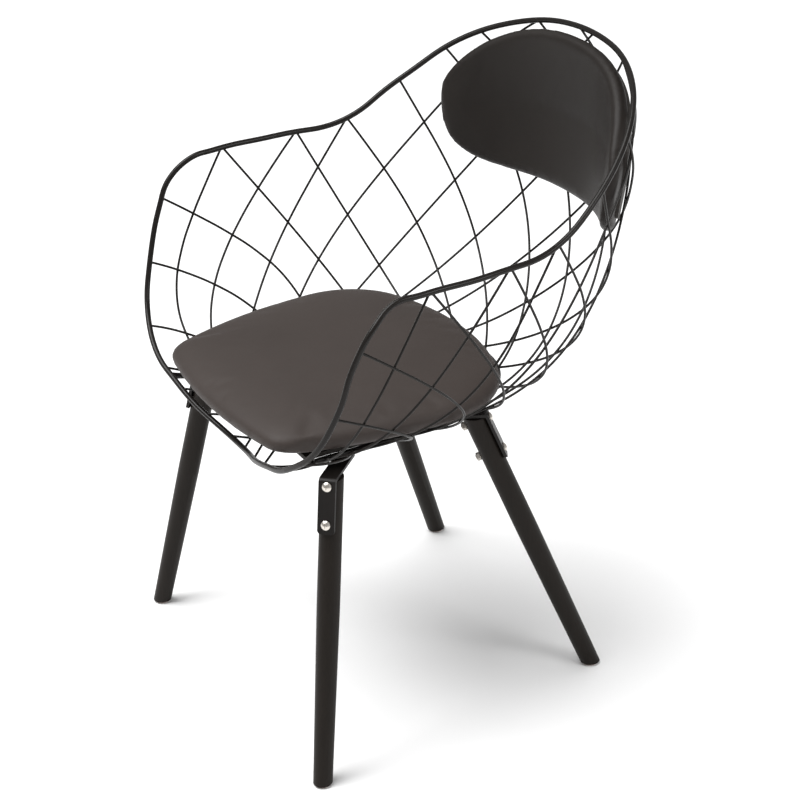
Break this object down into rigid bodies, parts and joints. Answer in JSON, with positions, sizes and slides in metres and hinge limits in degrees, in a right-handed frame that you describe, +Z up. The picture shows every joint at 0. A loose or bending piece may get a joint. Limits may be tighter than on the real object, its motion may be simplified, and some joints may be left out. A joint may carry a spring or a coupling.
{
  "type": "wire mesh armchair",
  "caption": "Tub armchair with a curved basket of crossed steel wire, a padded seat and back cushion, and splayed round wooden legs.",
  "frame": {"origin": "on the floor, under the middle of the chair's outline", "axes": "+Z up, the chair faces -Y, +X is the sitter's left"},
  "size_m": [0.584, 0.5956, 0.8049],
  "materials": {
    "rim_steel": "satin black paint",
    "wire_steel": "satin black paint",
    "frame_steel": "satin black paint",
    "leg_wood": "black stained and lacquered",
    "glide_plastic": "plain moulded",
    "fastener_steel": "nickel plated",
    "plywood": "black stained plywood",
    "seat_cover": "smooth dark coated leather",
    "back_cover": "smooth dark coated leather"
  },
  "bodies": {
    "root": {"back_board": "plywood", "back_cushion": "back_cover", "back_plates": "frame_steel", "back_screws": "fastener_steel", "bracket_front_left": "frame_steel", "bracket_front_right": "frame_steel", "bracket_rear_left": "frame_steel", "bracket_rear_right": "frame_steel", "forward_wire_left_1": "wire_steel", "forward_wire_left_2": "wire_steel", "forward_wire_left_3": "wire_steel", "forward_wire_left_4": "wire_steel", "forward_wire_right_1": "wire_steel", "forward_wire_right_2": "wire_steel", "forward_wire_right_3": "wire_steel", "forward_wire_right_4": "wire_steel", "glide_front_left": "glide_plastic", "glide_front_right": "glide_plastic", "glide_rear_left": "glide_plastic", "glide_rear_right": "glide_plastic", "leg_bolts": "fastener_steel", "leg_front_left": "leg_wood", "leg_front_right": "leg_wood", "leg_nuts": "fastener_steel", "leg_rear_left": "leg_wood", "leg_rear_right": "leg_wood", "rearward_wire_left_01": "wire_steel", "rearward_wire_left_02": "wire_steel", "rearward_wire_left_03": "wire_steel", "rearward_wire_left_04": "wire_steel", "rearward_wire_left_05": "wire_steel", "rearward_wire_left_06": "wire_steel", "rearward_wire_left_07": "wire_steel", "rearward_wire_left_08": "wire_steel", "rearward_wire_left_09": "wire_steel", "rearward_wire_left_10": "wire_steel", "rearward_wire_left_11": "wire_steel", "rearward_wire_right_01": "wire_steel", "rearward_wire_right_02": "wire_steel", "rearward_wire_right_03": "wire_steel", "rearward_wire_right_04": "wire_steel", "rearward_wire_right_05": "wire_steel", "rearward_wire_right_06": "wire_steel", "rearward_wire_right_07": "wire_steel", "rearward_wire_right_08": "wire_steel", "rearward_wire_right_09": "wire_steel", "rearward_wire_right_10": "wire_steel", "rearward_wire_right_11": "wire_steel", "rim": "rim_steel", "seat_board": "plywood", "seat_clamps": "frame_steel", "seat_cushion": "seat_cover", "seat_rail": "frame_steel", "seat_screws": "fastener_steel", "seat_wires_left": "wire_steel", "seat_wires_right": "wire_steel"}
  },
  "joints": []
}
